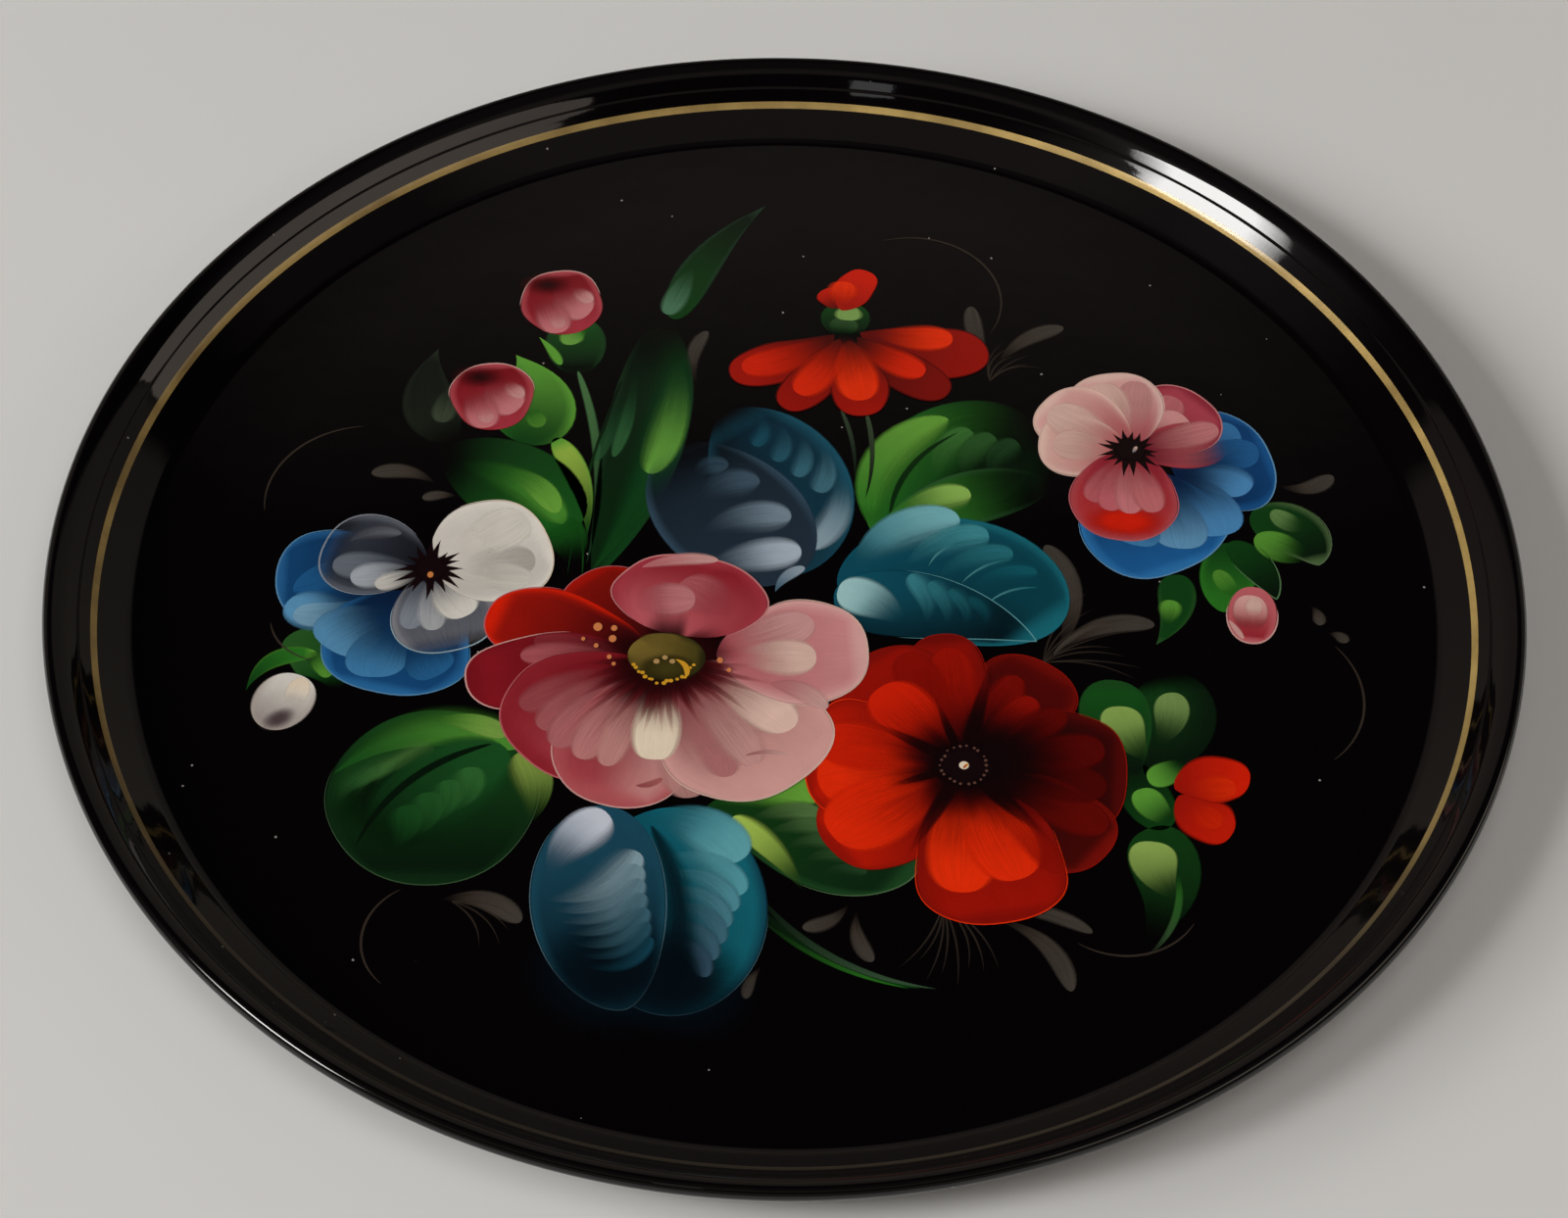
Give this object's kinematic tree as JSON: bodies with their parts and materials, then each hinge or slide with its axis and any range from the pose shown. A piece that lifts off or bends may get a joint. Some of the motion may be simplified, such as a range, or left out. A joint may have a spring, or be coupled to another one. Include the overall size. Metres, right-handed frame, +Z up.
{
  "type": "painted metal tray",
  "caption": "Round pressed-steel serving tray with a wired rolled rim, black lacquer, a thin gold line on the wall and a hand-painted flower bouquet on the floor.",
  "frame": {"origin": "centre of the tray's underside, on the plane it rests on", "axes": "+Z up out of the tray's face, +Y towards the top of the painted bouquet, +X to its right"},
  "size_m": [0.4, 0.4, 0.0175],
  "materials": {
    "pan_steel": "bare pressed sheet steel under the lacquer",
    "wire_steel": "drawn steel wire, hidden in the rolled rim",
    "black_lacquer": "gloss black lacquer under clear varnish",
    "back_lacquer": "satin black lacquer",
    "gold_paint": "matt gold paint line under clear varnish",
    "pink_paint": "oil paint in blended pinks under clear varnish",
    "red_paint": "oil paint in scarlet and maroon under clear varnish",
    "white_paint": "oil paint in white and grey under clear varnish",
    "blue_paint": "oil paint in slate, teal and blue under clear varnish",
    "green_paint": "oil paint in greens under clear varnish"
  },
  "bodies": {
    "root": {"back_lacquer": "back_lacquer", "blue_lower_leaf_paint": "blue_paint", "broad_leaf_paint": "green_paint", "bud_leaf_paint": "green_paint", "dark_upper_leaf_paint": "green_paint", "face_lacquer": "black_lacquer", "gold_line": "gold_paint", "green_lower_leaf_paint": "green_paint", "inner_green_leaf_paint": "green_paint", "inner_right_leaf_paint": "green_paint", "lance_leaf_paint": "green_paint", "lower_blade_paint": "green_paint", "lower_pink_bud_paint": "pink_paint", "pink_pansy_paint": "pink_paint", "pink_rose_paint": "pink_paint", "pink_side_bud_paint": "pink_paint", "red_poppy_paint": "red_paint", "red_side_flower_paint": "red_paint", "red_tuft_paint": "red_paint", "red_tulip_bud_paint": "red_paint", "right_leaf_paint": "green_paint", "rim_wire": "wire_steel", "round_leaf_paint": "green_paint", "shadow_leaf_paint": "green_paint", "side_flower_calyx_paint": "green_paint", "slate_leaf_paint": "blue_paint", "small_right_leaf_paint": "green_paint", "sprout_leaf_paint": "green_paint", "teal_leaf_paint": "blue_paint", "tray_pan": "pan_steel", "tulip_calyx_paint": "green_paint", "tulip_lower_leaf_paint": "green_paint", "tulip_upper_leaf_paint": "green_paint", "upper_bud_calyx_paint": "green_paint", "upper_pink_bud_paint": "pink_paint", "white_bud_calyx_paint": "green_paint", "white_bud_paint": "white_paint", "white_pansy_paint": "white_paint"}
  },
  "joints": []
}
